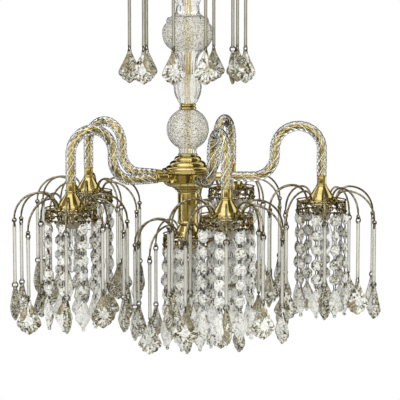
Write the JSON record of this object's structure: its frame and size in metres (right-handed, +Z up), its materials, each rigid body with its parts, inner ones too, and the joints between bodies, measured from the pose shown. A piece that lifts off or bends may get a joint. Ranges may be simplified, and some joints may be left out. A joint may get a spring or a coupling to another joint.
{
  "type": "chandelier",
  "caption": "Ceiling chandelier with curved glass arms over brass tube, bead curtains round each lamp, and sprays of brass wire with rods and cut pendants.",
  "frame": {"origin": "centre of the hole of the top loop, where the ceiling hook carries the lamp", "axes": "+Z up along the stem; +X along the first arm; +Y along the axis of the loop's hole"},
  "size_m": [0.5392, 0.5767, 0.6346],
  "materials": {
    "polished_brass": "polished and lacquered, dark in the recesses",
    "zinc_steel": "zinc plated",
    "column_glass": "clear, with a pressed pattern",
    "arm_glass": "clear, twisted",
    "cut_crystal": "clear, cut in facets and polished",
    "dark_wire": "dark, bright on edges",
    "holder_plastic": "satin",
    "lead_sheath": "smooth sheath",
    "lamp_glass": "clear"
  },
  "bodies": {
    "fixture": {"top_loop": "polished_brass", "crown_cap": "polished_brass", "crown_plate": "polished_brass", "crown_ring": "polished_brass", "crown_collar": "polished_brass", "crown_wires": "polished_brass", "neck_ring": "polished_brass", "hub_dome": "polished_brass", "hub_bowl": "polished_brass", "hub_foot_ring": "polished_brass", "down_tube": "polished_brass", "arm_ferrules": "polished_brass", "arm_tubes": "polished_brass", "end_collars": "polished_brass", "cones": "polished_brass", "spray_collars": "polished_brass", "spray_wires": "polished_brass", "galleries": "polished_brass", "centre_stem": "polished_brass", "stem_nuts": "zinc_steel", "arm_nuts": "zinc_steel", "holder_rings": "zinc_steel", "upper_vase": "column_glass", "bulb_baluster": "column_glass", "lower_vase": "column_glass", "glass_ball": "column_glass", "arm_glass_1": "arm_glass", "arm_glass_2": "arm_glass", "arm_glass_3": "arm_glass", "arm_glass_4": "arm_glass", "arm_glass_5": "arm_glass", "bead_strands_1": "cut_crystal", "bead_strands_2": "cut_crystal", "bead_strands_3": "cut_crystal", "bead_strands_4": "cut_crystal", "bead_strands_5": "cut_crystal", "bead_strands_6": "cut_crystal", "curtain_drops": "cut_crystal", "spray_rods": "cut_crystal", "spray_drops": "cut_crystal", "strand_pins": "dark_wire", "pendant_rings": "dark_wire", "lamp_holders": "holder_plastic", "wiring": "lead_sheath"},
    "crown_pendant_1": {"crown_pendant_1": "cut_crystal"},
    "crown_pendant_2": {"crown_pendant_2": "cut_crystal"},
    "crown_pendant_3": {"crown_pendant_3": "cut_crystal"},
    "crown_pendant_4": {"crown_pendant_4": "cut_crystal"},
    "crown_pendant_5": {"crown_pendant_5": "cut_crystal"},
    "crown_pendant_6": {"crown_pendant_6": "cut_crystal"},
    "crown_pendant_7": {"crown_pendant_7": "cut_crystal"},
    "crown_pendant_8": {"crown_pendant_8": "cut_crystal"},
    "crown_pendant_9": {"crown_pendant_9": "cut_crystal"},
    "crown_pendant_10": {"crown_pendant_10": "cut_crystal"},
    "bulb_1": {"bulb_1": "lamp_glass"},
    "bulb_2": {"bulb_2": "lamp_glass"},
    "bulb_3": {"bulb_3": "lamp_glass"},
    "bulb_4": {"bulb_4": "lamp_glass"},
    "bulb_5": {"bulb_5": "lamp_glass"},
    "bulb_6": {"bulb_6": "lamp_glass"}
  },
  "joints": [
    {"name": "pendant_swing_1", "type": "hinge", "parent": "fixture", "child": "crown_pendant_1", "pos_m": [0.02948, -0.081, -0.0751], "axis": [-0.9397, -0.342, 0], "range_deg": [-8, 25]},
    {"name": "pendant_swing_2", "type": "hinge", "parent": "fixture", "child": "crown_pendant_2", "pos_m": [0.06793, -0.05307, -0.0751], "axis": [-0.6157, -0.788, 0], "range_deg": [-8, 25]},
    {"name": "pendant_swing_3", "type": "hinge", "parent": "fixture", "child": "crown_pendant_3", "pos_m": [0.08587, -0.00751, -0.0751], "axis": [-0.0872, -0.9962, 0], "range_deg": [-8, 25]},
    {"name": "pendant_swing_4", "type": "hinge", "parent": "fixture", "child": "crown_pendant_4", "pos_m": [0.0731, 0.04568, -0.0751], "axis": [0.5299, -0.848, 0], "range_deg": [-8, 25]},
    {"name": "pendant_swing_5", "type": "hinge", "parent": "fixture", "child": "crown_pendant_5", "pos_m": [0.03643, 0.07812, -0.0751], "axis": [0.9063, -0.4226, 0], "range_deg": [-8, 25]},
    {"name": "pendant_swing_6", "type": "hinge", "parent": "fixture", "child": "crown_pendant_6", "pos_m": [-0.01645, 0.08462, -0.0751], "axis": [0.9816, 0.1908, 0], "range_deg": [-8, 25]},
    {"name": "pendant_swing_7", "type": "hinge", "parent": "fixture", "child": "crown_pendant_7", "pos_m": [-0.06506, 0.05655, -0.0751], "axis": [0.6561, 0.7547, 0], "range_deg": [-8, 25]},
    {"name": "pendant_swing_8", "type": "hinge", "parent": "fixture", "child": "crown_pendant_8", "pos_m": [-0.08587, -0.00751, -0.0751], "axis": [-0.0872, 0.9962, 0], "range_deg": [-8, 25]},
    {"name": "pendant_swing_9", "type": "hinge", "parent": "fixture", "child": "crown_pendant_9", "pos_m": [-0.06095, -0.06095, -0.0751], "axis": [-0.7071, 0.7071, 0], "range_deg": [-8, 25]},
    {"name": "pendant_swing_10", "type": "hinge", "parent": "fixture", "child": "crown_pendant_10", "pos_m": [-0.01645, -0.08462, -0.0751], "axis": [-0.9816, 0.1908, 0], "range_deg": [-8, 25]},
    {"name": "bulb_unscrew_1", "type": "slide", "parent": "fixture", "child": "bulb_1", "axis": [0, 0, -1], "range_m": [0, 0.03]},
    {"name": "bulb_unscrew_2", "type": "slide", "parent": "fixture", "child": "bulb_2", "axis": [0, 0, -1], "range_m": [0, 0.03]},
    {"name": "bulb_unscrew_3", "type": "slide", "parent": "fixture", "child": "bulb_3", "axis": [0, 0, -1], "range_m": [0, 0.03]},
    {"name": "bulb_unscrew_4", "type": "slide", "parent": "fixture", "child": "bulb_4", "axis": [0, 0, -1], "range_m": [0, 0.03]},
    {"name": "bulb_unscrew_5", "type": "slide", "parent": "fixture", "child": "bulb_5", "axis": [0, 0, -1], "range_m": [0, 0.03]},
    {"name": "bulb_unscrew_6", "type": "slide", "parent": "fixture", "child": "bulb_6", "axis": [0, 0, -1], "range_m": [0, 0.03]}
  ]
}
